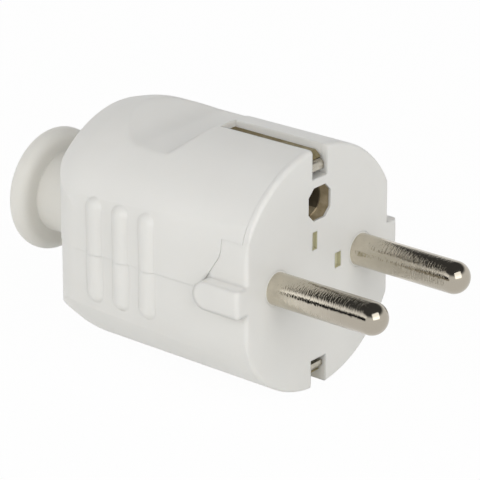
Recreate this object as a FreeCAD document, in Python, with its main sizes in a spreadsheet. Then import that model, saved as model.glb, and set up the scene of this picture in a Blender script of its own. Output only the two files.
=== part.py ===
"""Rewireable mains plug with two round pins, side guides, two earth strips and an earth-pin socket.

The origin is the middle of the engagement face, between the pins. +X is the way the pins point, +Z is up,
and the two pins lie in the plane Z = 0. All sizes are in millimetres.
"""
import FreeCAD, Part
import math
import os
from types import SimpleNamespace

import Sketcher

# Driving sizes. Each goes into one cell of the sheet under this name.
SIZES = {
    # Pins
    "pin_diameter": 4.8,
    "pin_spacing": 19.0,
    "pin_reach": 19.0,
    "pin_tip_round": 2.3,
    "pin_shank_diameter": 5.2,
    "pin_head_diameter": 7.2,
    "pin_head_chamfer": 0.4,
    "pin_clearance": 0.03,
    "wire_bore": 3.0,
    # Outer form of the housing
    "body_radius": 18.3,
    "body_rear_radius": 17.95,
    "body_length": 38.0,
    "face_edge": 0.6,
    "shoulder_length": 4.5,
    "shoulder_drop": 1.35,
    "shoulder_blend": 12.0,
    "rear_edge": 1.4,
    "cover_width": 32.6,
    "base_width": 32.3,
    "side_blend": 9.0,
    "foot_flat": 0.25,
    "rear_corner": 6.5,
    # Walls and parting
    "wall": 2.35,
    "side_wall": 2.65,
    "rear_wall": 3.0,
    "rim_thickness": 1.0,
    "face_wall": 4.0,
    "seam": 0.025,
    "fit_gap": 0.1,
    "overshoot": 1.0,
    # Side guides
    "guide_height": 8.2,
    "guide_depth": 4.65,
    "guide_bend_height": 5.95,
    "guide_bend_round": 3.0,
    "guide_foot_depth": 7.8,
    "guide_foot_height": 1.2,
    "tongue_height": 4.2,
    "tongue_length": 8.1,
    "tongue_round": 2.0,
    # Grip ribs
    "rib_rear": 9.9,
    "rib_pitch": 4.9,
    "rib_count": 3,
    "rib_radius": 1.9,
    "rib_height": 0.62,
    "rib_end_round": 1.8,
    "rib_top": 8.8,
    "rib_bottom": 7.7,
    # Thumb scoop, its places measured from the rear end
    "scoop_depth": 2.65,
    "scoop_mouth_front": 21.9,
    "scoop_floor_front": 18.1,
    "scoop_floor_rear": 11.0,
    "scoop_mouth_rear": 5.5,
    "scoop_mouth_rise": 0.2,
    "scoop_front_round": 0.8,
    "scoop_rear_round": 7.0,
    "scoop_mouth_round": 6.0,
    # Earth strips, bracket and socket
    "slot_width": 3.4,
    "slot_room": 3.3,
    "slot_depth": 4.5,
    "strip_width": 3.0,
    "strip_depth": 1.2,
    "strip_thickness": 0.9,
    "strip_set_back": 1.1,
    "strip_nose": 0.9,
    "strip_edge": 0.15,
    "bracket_thickness": 0.8,
    "bracket_set_back": 0.5,
    "bracket_bend": 1.1,
    "bracket_lip": 1.5,
    "tab_width": 7.0,
    "tab_length": 5.1,
    "tab_room": 0.4,
    "head_room": 0.4,
    "tab_top": 1.6,
    "earth_hole_height": 10.0,
    "earth_hole_width": 5.0,
    "earth_hole_cut": 1.2,
    "socket_bore": 5.0,
    "socket_wall": 0.6,
    "socket_slit": 0.7,
    "socket_lip": 0.4,
    "socket_mouth": 0.45,
    "socket_throat": 0.12,
    "socket_mouth_depth": 1.5,
    # Moulding slots in the face
    "face_slot_depth": 0.7,
    "upper_slot_across": -1.0,
    "upper_slot_up": 4.5,
    "upper_slot_width": 1.1,
    "upper_slot_height": 2.7,
    "side_slot_across": 4.35,
    "side_slot_up": 0.0,
    "side_slot_width": 1.4,
    "side_slot_height": 2.3,
    # Cord guard
    "guard_bore": 8.4,
    "neck_diameter": 12.4,
    "neck_length": 10.4,
    "neck_flare": 0.15,
    "flange_diameter": 18.7,
    "flange_thickness": 3.4,
    "flange_round": 1.6,
    "mouth_lip": 3.35,
    "bell_depth": 5.0,
    "collar_diameter": 15.2,
    "collar_thickness": 2.0,
    "guard_rib_thickness": 1.4,
    "guard_rib_clearance": 0.5,
    # Screws
    "screw_diameter": 2.9,
    "screw_head_diameter": 5.0,
    "screw_head_height": 1.9,
    "screw_slot_width": 0.8,
    "screw_slot_depth": 0.9,
    "screw_edge": 0.3,
    "thread_gap": 0.05,
    "terminal_screw_length": 3.2,
    "terminal_screw_rise": 0.5,
    "earth_screw_length": 4.0,
    "clamp_screw_length": 8.0,
    # Housing screw and its posts
    "housing_screw_diameter": 3.4,
    "housing_screw_head": 5.2,
    "housing_head_height": 2.2,
    "housing_head_recess": 15.0,
    "housing_screw_grip": 7.5,
    "post_diameter": 7.0,
    "post_room": 0.5,
    # Cord clamp
    "clamp_room": 0.7,
    "clamp_width": 4.4,
    "clamp_span": 23.0,
    "clamp_thickness": 2.2,
    "clamp_seat": 1.0,
    "clamp_arch_width": 8.4,
    "clamp_arch_rise": 2.8,
    "clamp_arch_round": 0.8,
    "clamp_screw_spacing": 17.4,
    "clamp_post_diameter": 6.0,
    "saddle_thickness": 2.0,
    "saddle_notch": 7.6,
    # Pin cradles and hold-down fins
    "cradle_width": 9.2,
    "cradle_drop": 0.6,
    "cradle_stop": 1.8,
    "fin_width": 5.0,
}


class Size:
    """A length that carries its sheet expression beside its number, through the same arithmetic."""

    def __init__(self, text, number):
        self.text = text
        self.number = number

    @staticmethod
    def of(value):
        return value if isinstance(value, Size) else Size(repr(float(value)), float(value))

    def __add__(self, other):
        other = Size.of(other)
        return Size(f"({self.text} + {other.text})", self.number + other.number)

    def __sub__(self, other):
        other = Size.of(other)
        return Size(f"({self.text} - {other.text})", self.number - other.number)

    def __mul__(self, other):
        other = Size.of(other)
        return Size(f"({self.text} * {other.text})", self.number * other.number)

    def __truediv__(self, other):
        other = Size.of(other)
        return Size(f"({self.text} / {other.text})", self.number / other.number)

    def __neg__(self):
        return Size(f"(-{self.text})", -self.number)


doc = FreeCAD.newDocument("mains_plug")
sheet = doc.addObject("Spreadsheet::Sheet", "sizes")
for row, (alias, number) in enumerate(SIZES.items(), start=1):
    sheet.set(f"A{row}", alias)
    sheet.set(f"B{row}", str(number))
    sheet.setAlias(f"B{row}", alias)
doc.recompute()
s = SimpleNamespace(**{alias: Size(f"sizes.{alias}", float(number)) for alias, number in SIZES.items()})
ZERO = Size.of(0.0)

# Angle, up from the side, at which the blend of a side flat runs into the round of the housing
BLEND_ANGLE = math.radians(40)
BLEND_COS = math.cos(BLEND_ANGLE)
BLEND_SIN = math.sin(BLEND_ANGLE)

# Sizes that follow from the driving ones
pin_radius = s.pin_diameter / 2
shank_radius = s.pin_shank_diameter / 2
head_radius = s.pin_head_diameter / 2
pin_side = s.pin_spacing / 2
inner_radius = s.body_rear_radius - s.wall
inner_width = s.base_width - s.side_wall * 2
inner_length = s.body_length - s.rear_wall
beyond = s.body_radius + s.overshoot
scoop_floor = s.body_rear_radius - s.scoop_depth
scoop_mouth = s.body_rear_radius + s.scoop_mouth_rise
slot_floor = s.body_radius - s.slot_depth
strip_surface = s.body_radius - s.strip_depth
bracket_rise = strip_surface - s.strip_thickness
bracket_tip = bracket_rise - s.bracket_lip
socket_inner = s.socket_bore / 2
socket_outer = socket_inner + s.socket_wall
screw_radius = s.screw_diameter / 2
neck_radius = s.neck_diameter / 2
neck_end = s.body_length + s.neck_length
guard_end = neck_end + s.flange_thickness
collar_front = inner_length - s.collar_thickness
rib_back = collar_front - s.fit_gap
rib_front = rib_back - s.guard_rib_thickness
clamp_back = rib_front - s.clamp_room - s.clamp_width / 2
housing_screw_back = clamp_back - s.clamp_width / 2 - s.post_room - s.post_diameter / 2
tab_end = housing_screw_back - s.post_diameter / 2 - s.tab_room
bracket_length = tab_end - s.tab_length
tab_back = tab_end - s.tab_length / 2
slot_length = bracket_length + s.slot_room
strip_length = slot_length - s.fit_gap
tail_floor = bracket_rise - s.fit_gap
head_end = bracket_length - s.head_room
head_length = head_end - s.face_wall
wire_bore_end = head_end - head_length / 2
terminal_back = head_end - head_length / 3
fin_rear = (s.face_wall + terminal_back - s.screw_head_diameter / 2) / 2
rib_first = s.body_length - s.rib_rear - s.rib_pitch * (s.rib_count - 1)
clamp_top = s.clamp_thickness - s.clamp_seat
clamp_screw_side = s.clamp_screw_spacing / 2
inner_span = (-inner_width / 2, inner_width / 2)
full_height = (-beyond, beyond)
pin_lines = {"near": -pin_side, "far": pin_side}
clamp_lines = {"near": -clamp_screw_side, "far": clamp_screw_side}
housing_screw_line = (-housing_screw_back, ZERO)


def bind(thing, prop, size):
    """Sets a property of an object to a size and ties it to the sheet."""
    thing.setExpression(prop, Size.of(size).text)


def origin_plane(body, role):
    """One of a body's own origin planes or axes, such as XZ_Plane or X_Axis."""
    return next(feature for feature in body.Origin.OriginFeatures if feature.Role == role)


def new_body(label):
    """An empty body with its own label."""
    body = doc.addObject("PartDesign::Body", label)
    body.Label = label
    return body


def new_sketch(body, role, shift=None):
    """A sketch on one of the body's origin planes, shifted across, up and along the plane's normal."""
    sketch = body.newObject("Sketcher::SketchObject", f"{body.Name}_sketch")
    sketch.AttachmentSupport = [(origin_plane(body, role), "")]
    sketch.MapMode = "FlatFace"
    for axis, amount in zip("xyz", shift or ()):
        bind(sketch, f"AttachmentOffset.Base.{axis}", amount)
    return sketch


def pin_down(sketch, geometry, position, across, up):
    """Fixes a point of a sketch by its two distances from the sketch's origin."""
    for kind, size in (("DistanceX", across), ("DistanceY", up)):
        size = Size.of(size)
        index = sketch.addConstraint(Sketcher.Constraint(kind, -1, 1, geometry, position, size.number))
        sketch.setExpression(f"Constraints[{index}]", size.text)


def unit(start, end):
    """Unit vector from one point to another."""
    step = end - start
    return step / step.Length


def closed_outline(sketch, corners):
    """Draws a closed outline; a corner is (across, up), or (across, up, round) with a tangent arc."""
    points = [FreeCAD.Vector(Size.of(c[0]).number, Size.of(c[1]).number, 0) for c in corners]
    rounds = [c[2] if len(c) > 2 else None for c in corners]
    count = len(corners)
    into = [unit(points[i - 1], points[i]) for i in range(count)]
    out_of = [into[(i + 1) % count] for i in range(count)]
    trims = []
    for i, size in enumerate(rounds):
        half_turn = into[i].getAngle(out_of[i]) / 2
        trims.append(size.number * math.tan(half_turn) if size else 0.0)
    for i in range(count):
        after = (i + 1) % count
        start = points[i] + out_of[i] * trims[i]
        end = points[after] - into[after] * trims[after]
        sketch.addGeometry(Part.LineSegment(start, end), False)
    for i, size in enumerate(rounds):
        before = (i - 1) % count
        if size is None:
            sketch.addConstraint(Sketcher.Constraint("Coincident", before, 2, i, 1))
            pin_down(sketch, i, 1, *corners[i][:2])
            continue
        left_turn = into[i].cross(out_of[i]).z > 0
        inward = FreeCAD.Vector(-into[i].y, into[i].x, 0) * (1 if left_turn else -1)
        first = points[i] - into[i] * trims[i]
        last = points[i] + out_of[i] * trims[i]
        centre = first + inward * size.number
        start, end = (first, last) if left_turn else (last, first)
        angles = [math.atan2(p.y - centre.y, p.x - centre.x) for p in (start, end)]
        circle = Part.Circle(centre, FreeCAD.Vector(0, 0, 1), size.number)
        arc = sketch.addGeometry(Part.ArcOfCircle(circle, *angles), False)
        corner = sketch.addGeometry(Part.Point(points[i]), True)
        entry, leave = (1, 2) if left_turn else (2, 1)
        pin_down(sketch, corner, 1, *corners[i][:2])
        sketch.addConstraint(Sketcher.Constraint("PointOnObject", corner, 1, before))
        sketch.addConstraint(Sketcher.Constraint("PointOnObject", corner, 1, i))
        sketch.addConstraint(Sketcher.Constraint("Tangent", before, 2, arc, entry))
        sketch.addConstraint(Sketcher.Constraint("Tangent", i, 1, arc, leave))
        index = sketch.addConstraint(Sketcher.Constraint("Radius", arc, size.number))
        sketch.setExpression(f"Constraints[{index}]", size.text)


def pad(label, role, corners, length, shift=None):
    """A body padded from an outline, evenly to both sides of its plane."""
    body = new_body(label)
    add_pad(body, role, corners, length, shift)
    return body


def add_pad(body, role, corners, length, shift=None):
    """Adds an evenly two-sided pad of an outline to a body."""
    sketch = new_sketch(body, role, shift)
    closed_outline(sketch, corners)
    feature = body.newObject("PartDesign::Pad", f"{body.Name}_pad")
    feature.Profile = sketch
    feature.SideType = "Symmetric"
    bind(feature, "Length", length)


def turned(label, corners, axis="H_Axis", shift=None):
    """A body turned from a half profile in the XZ plane, about the sketch's own axis."""
    body = new_body(label)
    sketch = new_sketch(body, "XZ_Plane", shift)
    closed_outline(sketch, corners)
    feature = body.newObject("PartDesign::Revolution", f"{label}_turn")
    feature.Profile = sketch
    feature.ReferenceAxis = (sketch, [axis])
    feature.Angle = 360
    return body


def cut_round(body, role, across, up, radius, length, shift=None, reverse=False):
    """Cuts a round hole into a body from one of its planes."""
    sketch = new_sketch(body, role, shift)
    centre = FreeCAD.Vector(Size.of(across).number, Size.of(up).number, 0)
    circle = sketch.addGeometry(Part.Circle(centre, FreeCAD.Vector(0, 0, 1), radius.number), False)
    pin_down(sketch, circle, 3, across, up)
    index = sketch.addConstraint(Sketcher.Constraint("Radius", circle, radius.number))
    sketch.setExpression(f"Constraints[{index}]", radius.text)
    doc.recompute()
    before = body.Shape.Volume
    feature = body.newObject("PartDesign::Pocket", f"{body.Name}_hole")
    feature.Profile = sketch
    feature.Reversed = reverse
    bind(feature, "Length", length)
    doc.recompute()
    if body.Shape.Volume >= before:
        raise RuntimeError(f"a hole of {body.Label} cuts nothing")


def cut_slot(body, role, corners, length, shift=None):
    """Cuts an outline into a body, evenly to both sides of its plane."""
    sketch = new_sketch(body, role, shift)
    closed_outline(sketch, corners)
    doc.recompute()
    before = body.Shape.Volume
    feature = body.newObject("PartDesign::Pocket", f"{body.Name}_slot")
    feature.Profile = sketch
    feature.SideType = "Symmetric"
    bind(feature, "Length", length)
    doc.recompute()
    if body.Shape.Volume >= before:
        raise RuntimeError(f"a slot of {body.Label} cuts nothing")


def rectangle(low_across, high_across, low_up, high_up):
    """Four corners of an upright rectangle."""
    return [(low_across, low_up), (high_across, low_up), (high_across, high_up), (low_across, high_up)]


def block(label, x, y, z):
    """A box between two values along each axis."""
    box = doc.addObject("Part::Box", label)
    for axis, prop, (low, high) in zip("xyz", ("Length", "Width", "Height"), (x, y, z)):
        bind(box, prop, Size.of(high) - low)
        bind(box, f"Placement.Base.{axis}", low)
    return box


def rod(label, axis, radius, low, high, centre=(ZERO, ZERO)):
    """A cylinder along X or Z between two values; the centre is its other two coordinates."""
    cylinder = doc.addObject("Part::Cylinder", label)
    bind(cylinder, "Radius", radius)
    bind(cylinder, "Height", Size.of(high) - low)
    if axis == "x":
        cylinder.Placement.Rotation = FreeCAD.Rotation(FreeCAD.Vector(0, 1, 0), 90)
    names = {"x": ("x", "y", "z"), "z": ("z", "x", "y")}[axis]
    for name, value in zip(names, (low, *centre)):
        bind(cylinder, f"Placement.Base.{name}", value)
    return cylinder


def fuse(label, *shapes):
    """One shape of several that meet."""
    result = doc.addObject("Part::MultiFuse", label)
    result.Shapes = list(shapes)
    result.Refine = True
    return result


def common(label, *shapes):
    """What several shapes share."""
    result = doc.addObject("Part::MultiCommon", label)
    result.Shapes = list(shapes)
    result.Refine = True
    return result


def cut(label, base, *tools):
    """A shape with others taken out of it."""
    result = doc.addObject("Part::Cut", label)
    result.Base = base
    result.Tool = tools[0] if len(tools) == 1 else fuse(f"{label}_tools", *tools)
    result.Refine = True
    return result


def moved_body(body, x=ZERO, y=ZERO, z=ZERO):
    """Places a body by its sheet-bound position."""
    for axis, value in zip("xyz", (x, y, z)):
        bind(body, f"Placement.Base.{axis}", value)
    return body


# Outer form shared by the two shells: a turned body with a rounded shoulder, cut by a plan with side flats
housing_round = turned("housing_round", [
    (ZERO, ZERO),
    (ZERO, s.body_radius, s.face_edge),
    (s.shoulder_length - s.body_length, s.body_rear_radius, s.shoulder_blend),
    (-s.body_length, s.body_rear_radius - s.shoulder_drop, s.rear_edge),
    (-s.body_length, ZERO),
])


def shell_form(label, width):
    """The outer form of a shell: side flats that blend into the round, a foot flat, rounded rear corners."""
    half = width / 2
    plan = pad(f"{label}_plan", "XY_Plane", [
        (ZERO, -half, s.face_edge),
        (ZERO, half, s.face_edge),
        (-s.body_length, half, s.rear_corner),
        (-s.body_length, -half, s.rear_corner),
    ], beyond * 2)
    rise = (s.body_radius - half * BLEND_COS) / BLEND_SIN
    reach = (s.body_radius - beyond * BLEND_SIN) / BLEND_COS
    foot = s.body_radius - s.foot_flat
    foot_reach = (s.body_radius - foot * BLEND_SIN) / BLEND_COS
    section = pad(f"{label}_section", "YZ_Plane", [
        (half, -rise, s.side_blend), (half, rise, s.side_blend), (reach, beyond), (-reach, beyond),
        (-half, rise, s.side_blend), (-half, -rise, s.side_blend), (-foot_reach, -foot), (foot_reach, -foot),
    ], (s.body_length + s.overshoot) * 2)
    return common(f"{label}_form", housing_round, plan, section)


def cover_zone(label, gap):
    """The space of the cover: above the pin plane, behind the rim and clear of the side guides."""
    return pad(label, "XZ_Plane", [
        (-s.rim_thickness - gap, beyond),
        (-s.rim_thickness - gap, s.guide_height + gap),
        (-s.guide_depth - gap, s.guide_height + gap),
        (-s.guide_depth - gap, s.guide_bend_height, s.guide_bend_round),
        (-s.guide_foot_depth - gap, s.guide_foot_height),
        (-s.tongue_length, gap),
        (-s.body_length - s.overshoot, gap),
        (-s.body_length - s.overshoot, beyond),
    ], beyond * 2)


def tongue_bar(label, gap):
    """A bar through both side guides, with a rounded rear end."""
    half = s.tongue_height / 2 + gap
    return pad(label, "XZ_Plane", [
        (s.overshoot, -half),
        (s.overshoot, half),
        (-s.tongue_length - gap, half, s.tongue_round),
        (-s.tongue_length - gap, -half, s.tongue_round),
    ], beyond * 2)


def cavity(label, front):
    """The hollow of the shells, round above and below and flat at the sides."""
    return common(
        label,
        rod(f"{label}_round", "x", inner_radius, -inner_length, -front),
        block(f"{label}_flat", (-inner_length, -front), inner_span, full_height),
    )


def inner_core(label):
    """All the room between the inner side walls, over the length of the housing."""
    return block(label, (-s.body_length, s.overshoot), inner_span, full_height)


def grip_ribs():
    """Upright ribs with rounded ends along both sides, in one body."""
    body = turned("grip_ribs", [
        (ZERO, -s.rib_bottom),
        (s.rib_radius, -s.rib_bottom, s.rib_end_round),
        (s.rib_radius, s.rib_top, s.rib_end_round),
        (ZERO, s.rib_top),
    ], "V_Axis", (-rib_first, ZERO, s.cover_width / 2 + s.rib_height - s.rib_radius))
    first = body.Tip
    row_of_ribs = body.newObject("PartDesign::LinearPattern", "rib_row")
    row_of_ribs.Originals = [first]
    row_of_ribs.Direction = (first.Profile[0], ["H_Axis"])
    row_of_ribs.Reversed = True
    row_of_ribs.Occurrences = int(s.rib_count.number)
    bind(row_of_ribs, "Length", s.rib_pitch * (s.rib_count - 1))
    body.Tip = row_of_ribs
    both_sides = body.newObject("PartDesign::Mirrored", "rib_sides")
    both_sides.TransformMode = "Whole shape"
    both_sides.MirrorPlane = (origin_plane(body, "XZ_Plane"), [""])
    body.Tip = both_sides
    return body


def earth_slot(label, deep_span, tail_span):
    """The slot of one earth strip, open to the outside and through the face, with a shallow tail."""
    width = (-s.slot_width / 2, s.slot_width / 2)
    deep = block(f"{label}_deep", (-bracket_length - s.fit_gap, s.overshoot), width, deep_span)
    tail = block(f"{label}_tail", (-slot_length, s.overshoot), width, tail_span)
    return fuse(label, deep, tail)


def guard_rib(label, low, high):
    """A wall in front of the cord guard's collar, open at the middle for the cord."""
    wall = block(f"{label}_wall", (-rib_back, -rib_front), inner_span, (low, high))
    radius = s.guard_bore / 2 + s.guard_rib_clearance
    bore = rod(f"{label}_bore", "x", radius, -rib_back - s.overshoot, s.overshoot - rib_front)
    return cut(label, wall, bore)


ribs = grip_ribs()
zone_for_base = cover_zone("zone_for_base", ZERO)
zone_for_cover = cover_zone("zone_for_cover", s.seam)
top_slot = earth_slot("top_slot", (slot_floor, beyond), (tail_floor, beyond))
bottom_slot = earth_slot("bottom_slot", (-beyond, -slot_floor), (-beyond, -tail_floor))
neck_hole = rod("neck_hole", "x", neck_radius + s.fit_gap,
                -s.body_length - s.overshoot, -inner_length + s.overshoot)


def pin_cradles():
    """Blocks under the terminal heads of both pins, with a stop behind each."""
    half = s.cradle_width / 2
    return [
        block(f"cradle_{name}", (-head_end - s.cradle_stop, -s.face_wall),
              (side - half, side + half), (-beyond, -s.cradle_drop))
        for name, side in pin_lines.items()
    ]


def cord_seats():
    """Posts of the cord clamp, with a notched saddle between them, and the lower guard rib."""
    front = -clamp_back + s.saddle_thickness / 2
    rear = -clamp_back - s.saddle_thickness / 2
    wall = block("saddle_wall", (rear, front), (-clamp_screw_side, clamp_screw_side),
                 (-beyond, -s.clamp_seat))
    notch = rod("saddle_notch", "x", s.saddle_notch / 2, rear - s.overshoot, front + s.overshoot)
    posts = [
        rod(f"clamp_post_{name}", "z", s.clamp_post_diameter / 2,
            -beyond, -s.clamp_seat, (-clamp_back, side))
        for name, side in clamp_lines.items()
    ]
    return [*posts, cut("saddle", wall, notch), guard_rib("base_guard_rib", -beyond, ZERO)]


def pin_holes():
    """Holes for the shanks of the pins, seats of their heads and notches for their wires."""
    tools = []
    for name, side in pin_lines.items():
        line = (side, ZERO)
        tools += [
            rod(f"pin_hole_{name}", "x", shank_radius + s.pin_clearance,
                -s.face_wall - s.overshoot, s.overshoot, line),
            rod(f"head_seat_{name}", "x", head_radius + s.pin_clearance,
                -head_end - s.pin_clearance, -s.face_wall, line),
            rod(f"wire_notch_{name}", "x", s.wire_bore / 2,
                -head_end - s.cradle_stop - s.overshoot, -head_end, line),
        ]
    return tools


def face_openings():
    """The hole for an earth pin, square with cut corners, the seat of its sleeve and two moulding slots."""
    half = s.earth_hole_width / 2
    near = half - s.earth_hole_cut
    up = s.earth_hole_height
    earth_hole = pad("earth_hole", "YZ_Plane", [
        (half, up - near), (half, up + near), (near, up + half), (-near, up + half),
        (-half, up + near), (-half, up - near), (-near, up - half), (near, up - half),
    ], s.face_wall * 2)
    sleeve_seat = rod("sleeve_seat", "x", socket_outer + s.fit_gap, -s.face_wall - s.overshoot,
                      -s.socket_lip, (ZERO, up))
    slots = [
        block(f"{name}_face_slot", (-s.face_slot_depth, s.overshoot),
              (across - width / 2, across + width / 2), (rise - height / 2, rise + height / 2))
        for name, across, rise, width, height in (
            ("upper", s.upper_slot_across, s.upper_slot_up, s.upper_slot_width, s.upper_slot_height),
            ("side", s.side_slot_across, s.side_slot_up, s.side_slot_width, s.side_slot_height))
    ]
    return [earth_hole, sleeve_seat, *slots]


def base_screw_holes():
    """The stepped hole of the housing screw and the threads of the clamp screws."""
    thread_end = clamp_top - s.clamp_screw_length - s.fit_gap
    threads = [
        rod(f"clamp_thread_{name}", "z", screw_radius + s.thread_gap,
            thread_end, ZERO, (-clamp_back, side))
        for name, side in clamp_lines.items()
    ]
    return [
        rod("base_screw_hole", "z", s.housing_screw_diameter / 2 + s.fit_gap,
            -beyond, s.overshoot, housing_screw_line),
        rod("base_head_recess", "z", s.housing_screw_head / 2 + s.fit_gap,
            -beyond, -s.housing_head_recess, housing_screw_line),
        *threads,
    ]


def base_shell():
    """Lower shell with the face, the side guides and the seats of the pins, the screws and the cord."""
    lower_form = cut("base_lower", shell_form("base", s.base_width), zone_for_base)
    hollow = cut("base_hollowed", lower_form, cavity("base_cavity", s.face_wall))
    spigot_half = inner_width / 2 - s.fit_gap
    spigot = common(
        "face_spigot",
        rod("spigot_round", "x", inner_radius - s.fit_gap, -s.face_wall, -s.face_edge),
        block("spigot_flat", (-s.face_wall, -s.face_edge), (-spigot_half, spigot_half), full_height),
    )
    tongue_form = common("tongue_form", tongue_bar("tongue_bar", ZERO), housing_round)
    tongues = cut("side_tongues", tongue_form, inner_core("tongue_core"))
    lower_ribs = cut("lower_ribs", ribs, zone_for_base, inner_core("lower_rib_core"))
    base_post = rod("base_post", "z", s.post_diameter / 2, -beyond, ZERO, housing_screw_line)
    seats = common(
        "base_seats",
        fuse("base_seats_raw", *pin_cradles(), base_post, *cord_seats()),
        cavity("base_seat_room", s.face_wall - s.fit_gap),
    )
    solid = fuse("base_solid", hollow, spigot, tongues, lower_ribs, seats)
    return cut("base_shell", solid, *pin_holes(), *face_openings(), *base_screw_holes(),
               top_slot, bottom_slot, neck_hole)


def cover_seats():
    """Seats inside the upper shell: scoop backing, screw boss, fins over the pin heads and guard rib."""
    mouth = (s.scoop_mouth_rear - s.body_length, s.scoop_mouth_front - s.body_length)
    backing = block("scoop_backing", mouth, inner_span, (scoop_floor - s.wall, beyond))
    boss = rod("cover_boss", "z", s.post_diameter / 2, ZERO, beyond, housing_screw_line)
    fins = [
        block(f"fin_{name}", (-fin_rear, -s.face_wall - s.fit_gap),
              (side - s.fin_width / 2, side + s.fin_width / 2), (head_radius + s.fit_gap, beyond))
        for name, side in pin_lines.items()
    ]
    rear = -inner_length - s.fit_gap
    room = common(
        "cover_seat_room",
        rod("cover_seat_round", "x", inner_radius + s.fit_gap, rear, ZERO),
        block("cover_seat_flat", (rear, ZERO), inner_span, (ZERO, beyond)),
    )
    raw = fuse("cover_seats_raw", backing, boss, *fins, guard_rib("cover_guard_rib", s.seam, beyond))
    return common("cover_seats", raw, room)


def cover_shell():
    """Upper shell with the thumb scoop, closing over the face's spigot and fixed by a screw from below."""
    upper_form = common("cover_upper", shell_form("cover", s.cover_width), zone_for_cover)
    hollow = cut("cover_hollowed", upper_form, cavity("cover_cavity", ZERO))
    rib_half = common("upper_rib_half", ribs, zone_for_cover)
    upper_ribs = cut("upper_ribs", rib_half, inner_core("upper_rib_core"))
    solid = fuse("cover_solid", hollow, upper_ribs, cover_seats())
    scoop = pad("thumb_scoop", "XZ_Plane", [
        (s.scoop_mouth_front - s.body_length, beyond),
        (s.scoop_floor_front - s.body_length, scoop_floor, s.scoop_front_round),
        (s.scoop_floor_rear - s.body_length, scoop_floor, s.scoop_rear_round),
        (s.scoop_mouth_rear - s.body_length, scoop_mouth, s.scoop_mouth_round),
        (-s.body_length - s.overshoot, scoop_mouth),
        (-s.body_length - s.overshoot, beyond),
    ], beyond * 2)
    screw_hole = rod("cover_screw_hole", "z", s.housing_screw_diameter / 2 + s.thread_gap,
                     -s.overshoot, s.housing_screw_grip + s.overshoot, housing_screw_line)
    tongue_room = tongue_bar("tongue_room", s.seam)
    return cut("cover_shell", solid, scoop, screw_hole, tongue_room, top_slot, neck_hole)


def contact_pin(label, side):
    """One pin turned with its terminal head, with a wire bore from behind and a screw thread from above."""
    body = turned(label, [
        (s.pin_reach, ZERO),
        (s.pin_reach, pin_radius, s.pin_tip_round),
        (ZERO, pin_radius),
        (ZERO, shank_radius),
        (-s.face_wall, shank_radius),
        (-s.face_wall, head_radius),
        (-head_end, head_radius, s.pin_head_chamfer),
        (-head_end, s.wire_bore / 2),
        (-wire_bore_end, s.wire_bore / 2),
        (-wire_bore_end, ZERO),
    ])
    cut_round(body, "XY_Plane", -terminal_back, ZERO, screw_radius + s.thread_gap, s.pin_head_diameter,
              reverse=True)
    return moved_body(body, y=side)


def cheese_head_screw(label, length, diameter, head_diameter, head_height):
    """An upright slotted screw whose head sits on Z = 0 of its own frame, its shank pointing down."""
    body = turned(label, [
        (ZERO, -length),
        (diameter / 2, -length, s.screw_edge),
        (diameter / 2, ZERO),
        (head_diameter / 2, ZERO),
        (head_diameter / 2, head_height, s.screw_edge),
        (ZERO, head_height),
    ], "V_Axis")
    cut_slot(body, "XZ_Plane", rectangle(-s.screw_slot_width / 2, s.screw_slot_width / 2,
                                         head_height - s.screw_slot_depth, head_height + s.overshoot),
             head_diameter * 2)
    return body


def plain_screw(label, length):
    """A small slotted screw of the kind used at the terminals and the cord clamp."""
    return cheese_head_screw(label, length, s.screw_diameter, s.screw_head_diameter, s.screw_head_height)


def earth_bracket():
    """A folded strip that carries both earth strips behind the face, with a terminal tab on its web."""
    front = -s.bracket_set_back
    back = -bracket_length
    thick = s.bracket_thickness
    inner_bend = s.bracket_bend - s.bracket_thickness
    inner_rise = bracket_rise - thick
    body = pad("earth_bracket", "XZ_Plane", [
        (front, bracket_tip), (front, bracket_rise, s.bracket_bend),
        (back, bracket_rise, s.bracket_bend), (back, -bracket_rise, s.bracket_bend),
        (front, -bracket_rise, s.bracket_bend), (front, -bracket_tip),
        (front - thick, -bracket_tip), (front - thick, -inner_rise, inner_bend),
        (back + thick, -inner_rise, inner_bend), (back + thick, inner_rise, inner_bend),
        (front - thick, inner_rise, inner_bend), (front - thick, bracket_tip),
    ], s.strip_width)
    tab = rectangle(back - s.tab_length, back + thick, -s.tab_top - thick, -s.tab_top)
    add_pad(body, "XZ_Plane", tab, s.tab_width)
    thread_depth = s.tab_top + thick + s.overshoot
    cut_round(body, "XY_Plane", -tab_back, ZERO, screw_radius + s.thread_gap, thread_depth)
    return body


def earth_strip(label, turn):
    """One brass earth strip lying on a leg of the bracket, with a sloping front end."""
    body = pad(label, "XZ_Plane", [
        (-s.strip_set_back, bracket_rise),
        (-s.strip_set_back, bracket_rise + s.strip_edge),
        (-s.strip_set_back - s.strip_nose, strip_surface),
        (-strip_length, strip_surface),
        (-strip_length, bracket_rise),
    ], s.strip_width)
    body.Placement.Rotation = FreeCAD.Rotation(FreeCAD.Vector(1, 0, 0), turn)
    return body


def earth_socket():
    """A slit sleeve with a wider mouth that grips an earth pin and stands on the bracket's web."""
    front = -s.socket_lip - s.fit_gap
    throat = front - s.socket_mouth_depth
    throat_radius = socket_inner + s.socket_throat
    rear = s.bracket_thickness - bracket_length
    floor = rear + s.socket_wall
    body = turned("earth_socket", [
        (front, socket_inner + s.socket_mouth), (front, socket_outer), (rear, socket_outer), (rear, ZERO),
        (floor, ZERO), (floor, socket_inner), (throat, socket_inner), (throat, throat_radius),
    ])
    half = s.socket_slit / 2
    cut_slot(body, "XY_Plane", rectangle(floor + s.socket_wall, throat, -half, half), socket_outer * 4)
    return moved_body(body, z=s.earth_hole_height)


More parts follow.
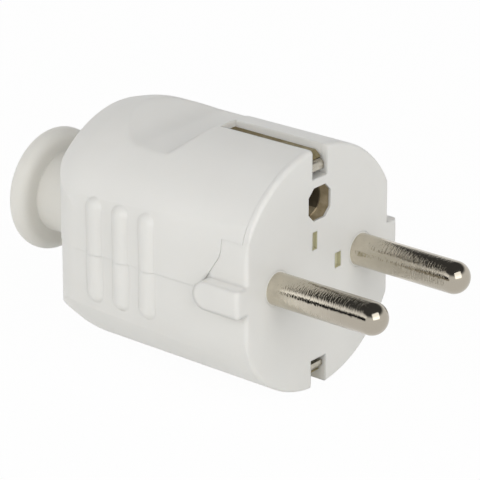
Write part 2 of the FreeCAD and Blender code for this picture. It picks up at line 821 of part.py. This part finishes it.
def earth_clamp_plate():
    """A small square plate that holds the earth wire on the bracket's tab."""
    half = s.tab_width / 2
    low = -bracket_length - s.tab_length
    body = pad("earth_clamp_plate", "XY_Plane", rectangle(low, -bracket_length - s.fit_gap, -half, half),
               s.bracket_thickness, (ZERO, ZERO, s.bracket_thickness / 2 - s.tab_top))
    cut_round(body, "XY_Plane", -tab_back, ZERO, screw_radius + s.fit_gap, s.tab_top + s.overshoot)
    return body


def cord_clamp():
    """A bar arched over the cord, resting on its two posts."""
    arch = s.clamp_arch_width / 2
    end = s.clamp_span / 2
    low = -s.clamp_seat
    top = low + s.clamp_arch_rise
    thick = s.clamp_thickness
    body = pad("cord_clamp", "YZ_Plane", [
        (-end, low), (-arch, low, s.clamp_arch_round), (-arch + thick / 2, top, s.clamp_arch_round),
        (arch - thick / 2, top, s.clamp_arch_round), (arch, low, s.clamp_arch_round), (end, low),
        (end, low + thick), (arch + thick / 2, low + thick, s.clamp_arch_round),
        (arch, top + thick, s.clamp_arch_round), (-arch, top + thick, s.clamp_arch_round),
        (-arch - thick / 2, low + thick, s.clamp_arch_round), (-end, low + thick),
    ], s.clamp_width, (ZERO, ZERO, -clamp_back))
    for side in clamp_lines.values():
        cut_round(body, "XY_Plane", -clamp_back, side, screw_radius + s.fit_gap, thick + s.overshoot,
                  (ZERO, ZERO, clamp_top + s.overshoot))
    return body


def cord_guard():
    """A trumpet-mouthed sleeve whose collar is held between the rear wall and the guard ribs."""
    bore = s.guard_bore / 2
    flange = s.flange_diameter / 2
    bell = flange - s.mouth_lip
    return turned("cord_guard", [
        (-collar_front, bore), (-collar_front, s.collar_diameter / 2),
        (-inner_length + s.fit_gap, s.collar_diameter / 2), (-inner_length + s.fit_gap, neck_radius),
        (-neck_end, neck_radius, s.neck_flare), (-neck_end, flange, s.flange_round),
        (-guard_end, flange, s.flange_round), (-guard_end, bell, s.flange_round),
        (s.bell_depth - guard_end, bore, s.flange_round),
    ])


terminal_screw_seat = head_radius + s.terminal_screw_rise
clamp_screws = [
    moved_body(plain_screw(f"clamp_screw_{name}", s.clamp_screw_length), -clamp_back, side, clamp_top)
    for name, side in clamp_lines.items()
]
pair_of_clamp_screws = doc.addObject("Part::Compound", "cord_clamp_screws")
pair_of_clamp_screws.Links = clamp_screws
housing_screw = cheese_head_screw("housing_screw", s.housing_head_recess + s.housing_screw_grip,
                                  s.housing_screw_diameter, s.housing_screw_head, s.housing_head_height)
housing_screw.Placement.Rotation = FreeCAD.Rotation(FreeCAD.Vector(1, 0, 0), 180)

SUB_PARTS = [
    base_shell(),
    cover_shell(),
    cord_guard(),
    contact_pin("line_pin", -pin_side),
    contact_pin("neutral_pin", pin_side),
    moved_body(plain_screw("line_terminal_screw", s.terminal_screw_length), -terminal_back, -pin_side,
               terminal_screw_seat),
    moved_body(plain_screw("neutral_terminal_screw", s.terminal_screw_length), -terminal_back, pin_side,
               terminal_screw_seat),
    earth_bracket(),
    earth_strip("earth_strip_top", 0),
    earth_strip("earth_strip_bottom", 180),
    earth_socket(),
    earth_clamp_plate(),
    moved_body(plain_screw("earth_screw", s.earth_screw_length), -tab_back, ZERO,
               s.bracket_thickness - s.tab_top),
    cord_clamp(),
    pair_of_clamp_screws,
    moved_body(housing_screw, -housing_screw_back, ZERO, -s.housing_head_recess),
]

doc.recompute()
for thing in doc.Objects:
    if any(state in thing.State for state in ("Invalid", "Error")):
        raise RuntimeError(f"{thing.Label} failed: {thing.State}")
os.makedirs("parts", exist_ok=True)
for part in SUB_PARTS:
    if part.Shape.isNull() or not part.Shape.isValid() or not part.Shape.Solids:
        raise RuntimeError(f"{part.Label} has no valid solid")
for part in SUB_PARTS:
    part.Shape.exportStep(f"parts/{part.Label}.step")
    print(f"{part.Label}: {len(part.Shape.Solids)} solid, {part.Shape.Volume:.1f} mm3")
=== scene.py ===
"""Looks of a rewireable earthed mains plug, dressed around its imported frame.

The moulded shells, the cord guard, the plated pins and the earth parts get their finishes here, and a plain
studio with the camera at the photo's angle shows them. Sizes in the classes are millimetres in the frame's
own axes: +X is the way the pins point, +Z is up and the near side is -Y.
"""

import logging
import math
from collections.abc import Mapping
from dataclasses import dataclass
from enum import Enum

import bpy
import numpy as np
from mathutils import Matrix, Vector


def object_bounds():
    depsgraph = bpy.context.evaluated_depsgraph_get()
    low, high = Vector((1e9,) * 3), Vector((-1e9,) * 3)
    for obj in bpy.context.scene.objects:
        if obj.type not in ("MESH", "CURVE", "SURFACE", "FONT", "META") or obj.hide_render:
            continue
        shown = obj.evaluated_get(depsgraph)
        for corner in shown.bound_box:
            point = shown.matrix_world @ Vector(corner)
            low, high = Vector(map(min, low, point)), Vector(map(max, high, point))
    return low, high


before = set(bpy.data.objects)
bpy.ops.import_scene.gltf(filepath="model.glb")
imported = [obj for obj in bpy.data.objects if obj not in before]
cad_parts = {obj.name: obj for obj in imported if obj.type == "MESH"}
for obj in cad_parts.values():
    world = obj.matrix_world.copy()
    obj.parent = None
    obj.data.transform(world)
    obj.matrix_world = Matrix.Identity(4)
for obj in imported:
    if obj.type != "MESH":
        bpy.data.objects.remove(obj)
CAD_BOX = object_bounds()
MM = 0.001
EDGE_SAMPLES = 6
# Places of the sockets on a node that mixes two colours.
MIX_FIRST, MIX_SECOND, MIX_OUT = 6, 7, 2
SHELL_COLOUR = "#E5E4E0"
# Reach of a zone along an axis that doesn't bound it, in millimetres.
ANY = (-100.0, 100.0)
LOG = logging.getLogger("mains_plug")


class LightRay(Enum):
    """Kinds of light ray that see the white surroundings as they are, by their socket's name."""

    CAMERA = "Is Camera Ray"
    GLOSSY = "Is Glossy Ray"
    TRANSMISSION = "Is Transmission Ray"


def linear(code: str) -> tuple[float, float, float, float]:
    """Turns an sRGB hex colour to linear light by the standard's two-part curve.

    Args:
        code: Colour as #RRGGBB.

    Returns:
        Linear red, green, blue and an alpha of 1.
    """
    share = np.array([int(code[i:i + 2], 16) for i in (1, 3, 5)]) / 255
    light = np.where(share <= 0.04045, share / 12.92, ((share + 0.055) / 1.055) ** 2.4)
    return (*map(float, light), 1.0)


def add_node(tree: bpy.types.NodeTree, kind: str, inputs: Mapping[str | int, object] | None = None,
             **settings: object) -> bpy.types.Node:
    """Adds one node, sets its properties and fills or links its inputs.

    Args:
        tree: Node tree that gets the node.
        kind: Blender's type name of the node.
        inputs: A value or an output socket for each input, by name or index.
        **settings: Properties of the node itself.

    Returns:
        The new node.
    """
    node = tree.nodes.new(kind)
    for name, value in settings.items():
        setattr(node, name, value)
    for key, value in (inputs or {}).items():
        if isinstance(value, bpy.types.NodeSocket):
            tree.links.new(value, node.inputs[key])
        else:
            node.inputs[key].default_value = value
    return node


def empty_material(name: str) -> bpy.types.Material:
    """Makes a node material with no nodes in it.

    Args:
        name: The material's name.

    Returns:
        The new material.
    """
    material = bpy.data.materials.new(name)
    material.use_nodes = True
    material.node_tree.nodes.clear()
    return material


def seen_by(tree: bpy.types.NodeTree, *rays: LightRay) -> bpy.types.NodeSocket:
    """Tests whether a light ray is of one of some kinds.

    Args:
        tree: Node tree that gets the nodes.
        *rays: The kinds of ray.

    Returns:
        A socket that is 1 for those rays and 0 for others.
    """
    path = add_node(tree, "ShaderNodeLightPath").outputs
    seen = path[rays[0].value]
    for ray in rays[1:]:
        either = add_node(tree, "ShaderNodeMath", {0: seen, 1: path[ray.value]}, operation="MAXIMUM")
        seen = either.outputs[0]
    return seen


@dataclass(frozen=True)
class Zone:
    """A box of the part, the same on both sides, in millimetres of X, distance from the middle and Z."""

    along: tuple[float, float]
    aside: tuple[float, float]
    up: tuple[float, float]

    def mask(self, tree: bpy.types.NodeTree, place: bpy.types.NodeSocket) -> bpy.types.NodeSocket:
        """Builds the test for the box.

        Args:
            tree: Node tree that gets the nodes.
            place: Object coordinates.

        Returns:
            A socket that is 1 inside the box and 0 outside it.
        """
        axes = add_node(tree, "ShaderNodeSeparateXYZ", {"Vector": place}).outputs
        aside = add_node(tree, "ShaderNodeMath", {0: axes["Y"]}, operation="ABSOLUTE").outputs[0]
        inside: bpy.types.NodeSocket | float = 1.0
        for value, (low, high) in ((axes["X"], self.along), (aside, self.aside), (axes["Z"], self.up)):
            middle, half = (low + high) / 2, (high - low) / 2
            between = add_node(tree, "ShaderNodeMath", {0: value, 1: middle * MM, 2: half * MM},
                               operation="COMPARE")
            inside = add_node(tree, "ShaderNodeMath", {0: inside, 1: between.outputs[0]},
                              operation="MULTIPLY").outputs[0]
        return inside


@dataclass(frozen=True)
class MouldedPlastic:
    """Injection-moulded thermoplastic: a satin off-white skin with a fine grain and softened edges."""

    name: str
    colour: str
    shade: str
    roughness: tuple[float, float]
    edge_zones: tuple[tuple[Zone, float], ...] = ()
    # Zones that get painted shade, and its colour.
    recess_shade_zones: tuple[Zone, ...] = ()
    recess_shade: str = "#CBC7A9"
    grain_mm: float = 0.32
    grain_depth_mm: float = 0.004
    edge_mm: float = 0.42
    depth_mm: float = 0.8
    depth_share: float = 0.2
    depth_reach: tuple[float, float, float] = (1.0, 0.9, 0.8)
    cloud_mm: float = 9.0
    patch_mm: float = 2.6
    ior: float = 1.49

    def tone(self, tree: bpy.types.NodeTree, place: bpy.types.NodeSocket) -> bpy.types.NodeSocket:
        """Mixes the colour of the skin, with painted shade in the recess zones.

        Args:
            tree: Node tree that gets the nodes.
            place: Object coordinates.

        Returns:
            A socket with the colour.
        """
        # Slow drifts of tone, as pigment and wall thickness give a moulded white.
        cloud = add_node(tree, "ShaderNodeTexNoise",
                         {"Vector": place, "Scale": 1 / (self.cloud_mm * MM), "Detail": 2.0})
        colour = add_node(tree, "ShaderNodeMix", {
            "Factor": cloud.outputs["Fac"], MIX_FIRST: linear(self.shade), MIX_SECOND: linear(self.colour)},
            data_type="RGBA")
        # Painted shade: narrow slots get a darker, yellower colour, as in the shade of their recesses.
        for zone in self.recess_shade_zones:
            colour = add_node(tree, "ShaderNodeMix", {
                "Factor": zone.mask(tree, place), MIX_FIRST: colour.outputs[MIX_OUT],
                MIX_SECOND: linear(self.recess_shade)}, data_type="RGBA")
        return colour.outputs[MIX_OUT]

    def relief(self, tree: bpy.types.NodeTree, place: bpy.types.NodeSocket) -> bpy.types.NodeSocket:
        """Rounds the edges and roughens the skin with its grain.

        Args:
            tree: Node tree that gets the nodes.
            place: Object coordinates.

        Returns:
            A socket with the normal.
        """
        # Edges are a little round; some zones of the tool leave them sharper or softer.
        radius: bpy.types.NodeSocket | float = self.edge_mm * MM
        for zone, zone_mm in self.edge_zones:
            radius = add_node(tree, "ShaderNodeMapRange", {
                "Value": zone.mask(tree, place), "To Min": radius, "To Max": zone_mm * MM}).outputs["Result"]
        edge = add_node(tree, "ShaderNodeBevel", {"Radius": radius}, samples=EDGE_SAMPLES)
        # Spark-eroded grain is a tenth of this; it is drawn coarser so that it shows.
        grain = add_node(tree, "ShaderNodeTexNoise",
                         {"Vector": place, "Scale": 1 / (self.grain_mm * MM), "Detail": 2.0})
        bump = add_node(tree, "ShaderNodeBump", {
            "Strength": 1.0, "Distance": self.grain_depth_mm * MM,
            "Height": grain.outputs["Fac"], "Normal": edge.outputs["Normal"]})
        return bump.outputs["Normal"]

    def material(self) -> bpy.types.Material:
        """Builds the finish from Object coordinates.

        Returns:
            The plastic's material.
        """
        material = empty_material(self.name)
        tree = material.node_tree
        place = add_node(tree, "ShaderNodeTexCoord").outputs["Object"]
        # The tool's polish wears unevenly, so the sheen changes over a few millimetres.
        patch = add_node(tree, "ShaderNodeTexNoise",
                         {"Vector": place, "Scale": 1 / (self.patch_mm * MM), "Detail": 3.0})
        low, high = self.roughness
        sheen = add_node(tree, "ShaderNodeMapRange",
                         {"Value": patch.outputs["Fac"], "To Min": low, "To Max": high})
        shader = add_node(tree, "ShaderNodeBsdfPrincipled", {
            "Base Color": self.tone(tree, place), "Roughness": sheen.outputs["Result"], "IOR": self.ior,
            "Subsurface Weight": self.depth_share, "Subsurface Radius": self.depth_reach,
            "Subsurface Scale": self.depth_mm * MM, "Normal": self.relief(tree, place)})
        add_node(tree, "ShaderNodeOutputMaterial", {"Surface": shader.outputs["BSDF"]})
        return material


@dataclass(frozen=True)
class PlainMetal:
    """A metal surface with tarnish in cloudy patches and a fine drawn or turned line in one direction."""

    name: str
    colour: str
    tarnish: str
    roughness: tuple[float, float]
    line_mm: float
    line_depth_mm: float
    polished_from_mm: float | None = None
    # Painted shade along X: where it is darkest and where lightest, in millimetres, and its colour.
    darkens_mm: tuple[float, float] | None = None
    darkens_to: str | None = None
    skin_zone: Zone | None = None
    skin_colour: str = SHELL_COLOUR
    skin_roughness: float = 0.45
    # Painted shade in one zone: the zone, the near-black colour that stands in for shade and how much is
    # mixed in.
    painted_shade_zone: Zone | None = None
    painted_shade_colour: str = "#1C150C"
    painted_shade_share: float = 0.72
    tarnish_range: tuple[float, float] = (0.35, 0.75)
    metallic: float = 1.0
    line_stretch: float = 4.0
    step_mm: float = 0.25
    cloud_mm: float = 1.6
    edge_mm: float = 0.1

    def tone(self, tree: bpy.types.NodeTree, place: bpy.types.NodeSocket,
             cloud: bpy.types.NodeSocket) -> bpy.types.NodeSocket:
        """Mixes the colour of clean and tarnished metal, with painted shade along X and in one zone.

        Args:
            tree: Node tree that gets the nodes.
            place: Object coordinates.
            cloud: Noise that the tarnish follows.

        Returns:
            A socket with the colour.
        """
        clean, dull = self.tarnish_range
        patchy = add_node(tree, "ShaderNodeMapRange", {"Value": cloud, "From Min": clean, "From Max": dull})
        colour = add_node(tree, "ShaderNodeMix", {
            "Factor": patchy.outputs["Result"], MIX_FIRST: linear(self.colour),
            MIX_SECOND: linear(self.tarnish)}, data_type="RGBA")
        # Painted shade: the colour darkens along X towards darkens_to or the tarnish.
        if self.darkens_mm is not None:
            darkest, lightest = self.darkens_mm
            along = add_node(tree, "ShaderNodeSeparateXYZ", {"Vector": place}).outputs["X"]
            shade_along = add_node(tree, "ShaderNodeMapRange", {
                "Value": along, "From Min": darkest * MM, "From Max": lightest * MM,
                "To Min": 1.0, "To Max": 0.0})
            colour = add_node(tree, "ShaderNodeMix", {
                "Factor": shade_along.outputs["Result"], MIX_FIRST: colour.outputs[MIX_OUT],
                MIX_SECOND: linear(self.darkens_to or self.tarnish)}, data_type="RGBA")
        # Painted shade: inside the zone the colour is mixed towards a near black.
        if self.painted_shade_zone is not None:
            depth = add_node(tree, "ShaderNodeMapRange", {
                "Value": self.painted_shade_zone.mask(tree, place), "To Max": self.painted_shade_share})
            colour = add_node(tree, "ShaderNodeMix", {
                "Factor": depth.outputs["Result"], MIX_FIRST: colour.outputs[MIX_OUT],
                MIX_SECOND: linear(self.painted_shade_colour)}, data_type="RGBA")
        return colour.outputs[MIX_OUT]

    def relief(self, tree: bpy.types.NodeTree, place: bpy.types.NodeSocket) -> bpy.types.NodeSocket:
        """Rounds the edges and draws the tool's marks, up to where the metal is polished.

        Args:
            tree: Node tree that gets the nodes.
            place: Object coordinates.

        Returns:
            A socket with the normal.
        """
        # Marks of the tool: short lines across X, longer than they are wide.
        across = 1 / (self.line_mm * self.line_stretch * MM)
        stretched = add_node(tree, "ShaderNodeMapping", {
            "Vector": place, "Scale": (1 / (self.line_mm * MM), across, across)})
        line = add_node(tree, "ShaderNodeTexNoise", {
            "Vector": stretched.outputs["Vector"], "Scale": 1.0, "Detail": 1.0})
        edge = add_node(tree, "ShaderNodeBevel", {"Radius": self.edge_mm * MM}, samples=EDGE_SAMPLES)
        bump = add_node(tree, "ShaderNodeBump", {
            "Strength": 1.0, "Distance": self.line_depth_mm * MM,
            "Height": line.outputs["Fac"], "Normal": edge.outputs["Normal"]})
        if self.polished_from_mm is not None:
            along = add_node(tree, "ShaderNodeSeparateXYZ", {"Vector": place}).outputs["X"]
            turned = add_node(tree, "ShaderNodeMapRange", {
                "Value": along, "From Min": (self.polished_from_mm - self.step_mm) * MM,
                "From Max": self.polished_from_mm * MM, "To Min": 1.0, "To Max": 0.0})
            tree.links.new(turned.outputs["Result"], bump.inputs["Strength"])
        return bump.outputs["Normal"]

    def material(self) -> bpy.types.Material:
        """Builds the finish from Object coordinates.

        Returns:
            The metal's material.
        """
        material = empty_material(self.name)
        tree = material.node_tree
        place = add_node(tree, "ShaderNodeTexCoord").outputs["Object"]
        cloud = add_node(tree, "ShaderNodeTexNoise", {
            "Vector": place, "Scale": 1 / (self.cloud_mm * MM),
            "Detail": 4.0, "Roughness": 0.6}).outputs["Fac"]
        low, high = self.roughness
        sheen = add_node(tree, "ShaderNodeMapRange", {"Value": cloud, "To Min": low, "To Max": high})
        shader = add_node(tree, "ShaderNodeBsdfPrincipled", {
            "Base Color": self.tone(tree, place, cloud), "Metallic": self.metallic,
            "Roughness": sheen.outputs["Result"], "Normal": self.relief(tree, place)})
        surface = shader.outputs["BSDF"]
        if self.skin_zone is not None:
            # Where the moulding closes on the metal, it shows in the moulding's colour, as under a thin skin.
            skin = add_node(tree, "ShaderNodeBsdfPrincipled", {
                "Base Color": linear(self.skin_colour), "Roughness": self.skin_roughness})
            both = add_node(tree, "ShaderNodeMixShader", {
                0: self.skin_zone.mask(tree, place), 1: surface, 2: skin.outputs["BSDF"]})
            surface = both.outputs["Shader"]
        add_node(tree, "ShaderNodeOutputMaterial", {"Surface": surface})
        return material


# The tool parts at the parting line, the guides' panels, the rim, the pin holes and the earth-pin hole, so
# edges are sharp there. The edges of the thumb scoop and of the guides are well rounded. The number after
# each zone is its edge radius in millimetres.
SHELL_EDGES = (
    (Zone((-60.0, -7.6), ANY, (-0.6, 0.6)), 0.08),
    (Zone((-8.4, -0.7), (13.0, 20.0), (2.7, 8.8)), 0.04),
    (Zone((-1.6, -0.7), ANY, (7.9, 20.0)), 0.04),
    (Zone((-0.5, 0.5), (6.0, 13.0), (-3.4, 3.4)), 0.04),
    (Zone((-0.6, 0.6), (0.0, 3.4), (6.8, 13.2)), 0.08),
    (Zone((-36.0, -17.6), ANY, (11.0, 20.0)), 1.1),
    (Zone((-9.5, 0.5), (15.7, 20.0), (-3.2, 2.7)), 1.0),
)
# The two moulding slots of the face, a little below its surface, where shade is painted into the colour.
FACE_SLOTS = (Zone((-1.0, -0.06), (0.4, 1.6), (3.1, 5.9)), Zone((-1.0, -0.06), (3.6, 5.1), (-1.2, 1.2)))
# Shells of hard plastic, such as a polyamide or a urea resin: pale, faintly warm, with a broad soft sheen.
SHELL_PLASTIC = MouldedPlastic("moulded_shell_plastic", SHELL_COLOUR, "#DFDEDA", (0.36, 0.46), SHELL_EDGES,
                               FACE_SLOTS)
# The guard bends with the cord, so it is a softer plastic with a duller skin.
GUARD_PLASTIC = MouldedPlastic("soft_guard_plastic", "#E7E5DF", "#E1DFD8", (0.42, 0.52), edge_mm=0.12,
                               grain_depth_mm=0.003)
# Bright nickel over turned brass: a warm grey mirror with turning marks and a polished tip. Its colour gets
# darker from the root towards the tip, painted shade for the dimmer reflections along the pin. Real marks are
# finer and shallower; these are drawn so that they show.
NICKEL = PlainMetal("nickel_plated_brass", "#DAD3C3", "#CBC3B4", (0.08, 0.17), 0.2, 0.055, 16.7,
                    darkens_mm=(13.0, 0.0), darkens_to="#B0A99C",
                    skin_zone=Zone((-4.0, 0.03), ANY, ANY))
# Nickel over pressed strip: duller and greyer, with faint rolling lines.
NICKEL_STRIP = PlainMetal("nickel_plated_strip", "#BDB8AC", "#A09A8C", (0.2, 0.34), 0.3, 0.002)
# Plain rolled brass that has begun to darken in the air, in patches. Towards the rear it gets darker still:
# painted shade, as the strip's far end lies in the shade of its slot.
BRASS = PlainMetal("rolled_brass", "#B4AA8C", "#7E6E40", (0.24, 0.42), 0.35, 0.002, darkens_mm=(-16.0, -2.5))
# Brass that was drawn into a tube and never polished: its oxide scatters light, so it shines less. The upper
# part of its bore, behind the mouth, is painted dark as shade.
DULL_BRASS = PlainMetal("oxidised_brass", "#CDBE9F", "#A59474", (0.45, 0.6), 0.35, 0.002,
                        painted_shade_zone=Zone((-20.0, -1.95), ANY, (8.2, 20.0)), metallic=0.45)
# Zinc-plated steel screws: cool grey with a slight cloud.
ZINC = PlainMetal("zinc_plated_steel", "#B9BCBF", "#A0A4A8", (0.24, 0.4), 0.28, 0.002)


def dress(node: str, material: bpy.types.Material) -> None:
    """Puts a finish into every material slot of a CAD node.

    Args:
        node: Name of the CAD node.
        material: Finish that the node gets.
    """
    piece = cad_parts[node]
    for place in piece.material_slots:
        place.material = material
    LOG.info("%s: %s", node, material.name)


@dataclass
class Housing:
    """The two moulded shells, and the cord's clamp bar of the same plastic."""

    nodes: tuple[str, ...] = ("base_shell", "cover_shell", "cord_clamp")

    def dress(self) -> None:
        """Gives the shells and the bar their moulded plastic."""
        plastic = SHELL_PLASTIC.material()
        for node in self.nodes:
            dress(node, plastic)


@dataclass
class CordGuard:
    """The trumpet-mouthed sleeve at the rear."""

    node: str = "cord_guard"

    def dress(self) -> None:
        """Gives the sleeve its softer plastic."""
        dress(self.node, GUARD_PLASTIC.material())


@dataclass
class ContactPins:
    """The two turned pins."""

    nodes: tuple[str, ...] = ("line_pin", "neutral_pin")

    def dress(self) -> None:
        """Gives the pins their bright nickel."""
        nickel = NICKEL.material()
        for node in self.nodes:
            dress(node, nickel)


@dataclass
class EarthParts:
    """The earth strips, the bracket that carries them and the earth-pin sleeve."""

    strip_nodes: tuple[str, ...] = ("earth_strip_top", "earth_strip_bottom")
    bracket_node: str = "earth_bracket"
    sleeve_node: str = "earth_socket"

    def dress(self) -> None:
        """Gives the strips rolled brass, the sleeve oxidised brass and the bracket nickel."""
        brass = BRASS.material()
        for node in self.strip_nodes:
            dress(node, brass)
        dress(self.bracket_node, NICKEL_STRIP.material())
        dress(self.sleeve_node, DULL_BRASS.material())


@dataclass
class Screws:
    """All screws and the plate under the earth screw."""

    nodes: tuple[str, ...] = ("line_terminal_screw", "neutral_terminal_screw", "earth_clamp_plate",
                              "earth_screw", "cord_clamp_screws", "housing_screw")

    def dress(self) -> None:
        """Gives the screws and the plate their zinc."""
        zinc = ZINC.material()
        for node in self.nodes:
            dress(node, zinc)


def direction(azimuth_deg: float, elevation_deg: float) -> Vector:
    """Unit vector at an azimuth from -Y towards +X and a height above the horizon.

    Args:
        azimuth_deg: Azimuth in degrees.
        elevation_deg: Elevation in degrees.

    Returns:
        The vector.
    """
    a, e = math.radians(azimuth_deg), math.radians(elevation_deg)
    return Vector((math.sin(a) * math.cos(e), -math.cos(a) * math.cos(e), math.sin(e)))


def facing(back: Vector, eye: Vector) -> Matrix:
    """Placement of a camera or lamp at a point, looking against a direction with Z up.

    Args:
        back: Unit vector from the subject to the camera.
        eye: Place of the camera in metres.

    Returns:
        The world matrix.
    """
    right = Vector((0, 0, 1)).cross(back).normalized()
    up = back.cross(right)
    turn = Matrix((right, up, back)).transposed().to_4x4()
    return Matrix.Translation(eye) @ turn


@dataclass
class PhotoCamera:
    """The camera of the photo, fitted to the edges and tips of the two pins."""

    azimuth_deg: float = 39.4
    elevation_deg: float = 21.97
    distance_mm: float = 500.0
    across_mm: float = -11.193
    up_mm: float = 4.014
    lens_mm: float = 265.0
    sensor_mm: float = 36.0

    def place(self) -> None:
        """Makes the camera and sets it as the scene's own."""
        lens = bpy.data.cameras.new("photo_camera")
        lens.lens = self.lens_mm
        lens.sensor_width = self.sensor_mm
        back = direction(self.azimuth_deg, self.elevation_deg)
        turn = facing(back, Vector()).to_3x3()
        eye = turn @ Vector((self.across_mm, self.up_mm, self.distance_mm)) * MM
        camera = bpy.data.objects.new("photo_camera", lens)
        camera.matrix_world = facing(back, eye)
        bpy.context.scene.collection.objects.link(camera)
        bpy.context.scene.camera = camera


@dataclass(frozen=True)
class SoftBox:
    """A rectangular lamp turned to the plug's middle."""

    name: str
    azimuth_deg: float
    elevation_deg: float
    distance_mm: float
    width_mm: float
    height_mm: float
    watts: float
    mirrored: bool = True

    def place(self, target: Vector) -> None:
        """Makes the lamp.

        Args:
            target: Point that the lamp faces, in metres.
        """
        lamp = bpy.data.lights.new(self.name, "AREA")
        lamp.shape = "RECTANGLE"
        lamp.size = self.width_mm * MM
        lamp.size_y = self.height_mm * MM
        lamp.energy = self.watts
        back = direction(self.azimuth_deg, self.elevation_deg)
        holder = bpy.data.objects.new(self.name, lamp)
        holder.matrix_world = facing(back, target + back * self.distance_mm * MM)
        holder.visible_glossy = self.mirrored
        bpy.context.scene.collection.objects.link(holder)


@dataclass(frozen=True)
class Flag:
    """A black card that stands on the floor below a soft box and draws a dark line on bright metal."""

    name: str
    azimuth_deg: float
    distance_mm: float
    width_mm: float
    height_mm: float
    colour: str = "#161616"

    def place(self) -> None:
        """Makes the card, out of the camera's sight."""
        out = direction(self.azimuth_deg, 0.0)
        along = Vector((0.0, 0.0, 1.0)).cross(out)
        foot = out * self.distance_mm * MM + Vector((0.0, 0.0, CAD_BOX[0].z))
        half, top = along * self.width_mm * MM / 2, Vector((0.0, 0.0, self.height_mm * MM))
        mesh = bpy.data.meshes.new(self.name)
        mesh.from_pydata([foot - half, foot + half, foot + half + top, foot - half + top], [], [(0, 1, 2, 3)])
        material = empty_material("black_card")
        card = add_node(material.node_tree, "ShaderNodeBsdfDiffuse", {"Color": linear(self.colour)})
        add_node(material.node_tree, "ShaderNodeOutputMaterial", {"Surface": card.outputs["BSDF"]})
        mesh.materials.append(material)
        flag = bpy.data.objects.new(self.name, mesh)
        flag.visible_camera = False
        bpy.context.scene.collection.objects.link(flag)


@dataclass
class Studio:
    """A pale floor, white walls, a dim ceiling, soft boxes, unmirrored fills and a black card."""

    floor_half_mm: float = 1500.0
    floor_gap_mm: float = 0.02
    floor_colour: str = "#F3F3F1"
    floor_white: float = 0.97
    front_wall: float = 0.67
    back_wall: float = 0.55
    wall_turn: float = 0.35
    ceiling: float = 0.42
    ceiling_seen: float = 0.07
    ceiling_from: float = 0.3
    ceiling_to: float = 0.62
    target_mm: tuple[float, float, float] = (-15.0, 0.0, 0.0)
    boxes: tuple[SoftBox, ...] = (
        SoftBox("left_box", -42.0, 28.5, 700.0, 1150.0, 225.0, 0.5),
        SoftBox("left_fill", -42.0, 28.5, 700.0, 1150.0, 225.0, 0.9, False),
        SoftBox("right_box", 72.0, 30.0, 700.0, 600.0, 520.0, 1.9),
        SoftBox("front_fill", 0.0, 25.0, 900.0, 700.0, 400.0, 2.1, False),
    )
    flag: Flag = Flag("low_flag", -36.0, 700.0, 900.0, 210.0)

    def build(self) -> None:
        """Sets up the floor, the world, the lamps and the colour handling."""
        self.lay_floor()
        self.light_world()
        for box in self.boxes:
            box.place(Vector(self.target_mm) * MM)
        self.flag.place()
        bpy.context.scene.view_settings.view_transform = "Standard"

    def lay_floor(self) -> None:
        """Lays a flat square just under the plug, whose material keeps part of the shadow."""
        half = self.floor_half_mm * MM
        corner = np.array([(-1, -1), (1, -1), (1, 1), (-1, 1)]) * half
        low = np.full((4, 1), CAD_BOX[0].z - self.floor_gap_mm * MM)
        mesh = bpy.data.meshes.new("studio_floor")
        mesh.from_pydata(np.hstack([corner, low]).tolist(), [], [(0, 1, 2, 3)])
        floor = bpy.data.objects.new("studio_floor", mesh)
        bpy.context.scene.collection.objects.link(floor)
        material = empty_material("matt_paper")
        tree = material.node_tree
        paper = add_node(tree, "ShaderNodeBsdfDiffuse", {"Color": linear(self.floor_colour)})
        white = add_node(tree, "ShaderNodeEmission", {"Strength": 1.0})
        share = add_node(tree, "ShaderNodeMath",
                         {0: seen_by(tree, *LightRay), 1: self.floor_white}, operation="MULTIPLY")
        both = add_node(tree, "ShaderNodeMixShader", {
            0: share.outputs[0], 1: paper.outputs["BSDF"], 2: white.outputs["Emission"]})
        add_node(tree, "ShaderNodeOutputMaterial", {"Surface": both.outputs["Shader"]})
        mesh.materials.append(material)

    def light_world(self) -> None:
        """White surroundings, dimmer overhead; the camera, gloss and glass see the sides at full white."""
        world = bpy.data.worlds.new("studio_world")
        world.use_nodes = True
        bpy.context.scene.world = world
        tree = world.node_tree
        tree.nodes.clear()
        sees = seen_by(tree, LightRay.GLOSSY, LightRay.TRANSMISSION)
        place = add_node(tree, "ShaderNodeTexCoord")
        axes = add_node(tree, "ShaderNodeSeparateXYZ", {"Vector": place.outputs["Generated"]})
        wall = add_node(tree, "ShaderNodeMapRange", {
            "Value": axes.outputs["Y"], "From Min": -self.wall_turn, "From Max": self.wall_turn,
            "To Min": self.front_wall, "To Max": self.back_wall}, interpolation_type="SMOOTHSTEP")
        side = add_node(tree, "ShaderNodeMapRange", {
            "Value": sees, "To Min": wall.outputs["Result"], "To Max": 1.0})
        over = add_node(tree, "ShaderNodeMapRange", {
            "Value": sees, "To Min": self.ceiling, "To Max": self.ceiling_seen})
        level = add_node(tree, "ShaderNodeMapRange", {
            "Value": axes.outputs["Z"], "From Min": self.ceiling_from, "From Max": self.ceiling_to,
            "To Min": side.outputs["Result"], "To Max": over.outputs["Result"]},
            interpolation_type="SMOOTHSTEP")
        strength = add_node(tree, "ShaderNodeMath", {
            0: level.outputs["Result"], 1: seen_by(tree, LightRay.CAMERA)}, operation="MAXIMUM")
        glow = add_node(tree, "ShaderNodeBackground", {
            "Color": linear("#FFFFFF"), "Strength": strength.outputs[0]})
        add_node(tree, "ShaderNodeOutputWorld", {"Surface": glow.outputs["Background"]})


def main() -> None:
    """Dresses each sub-assembly, then builds the studio and the camera."""
    logging.basicConfig(level=logging.INFO, format="%(name)s %(message)s")
    for part in (Housing(), CordGuard(), ContactPins(), EarthParts(), Screws()):
        part.dress()
    Studio().build()
    PhotoCamera().place()


if __name__ == "__main__":
    main()
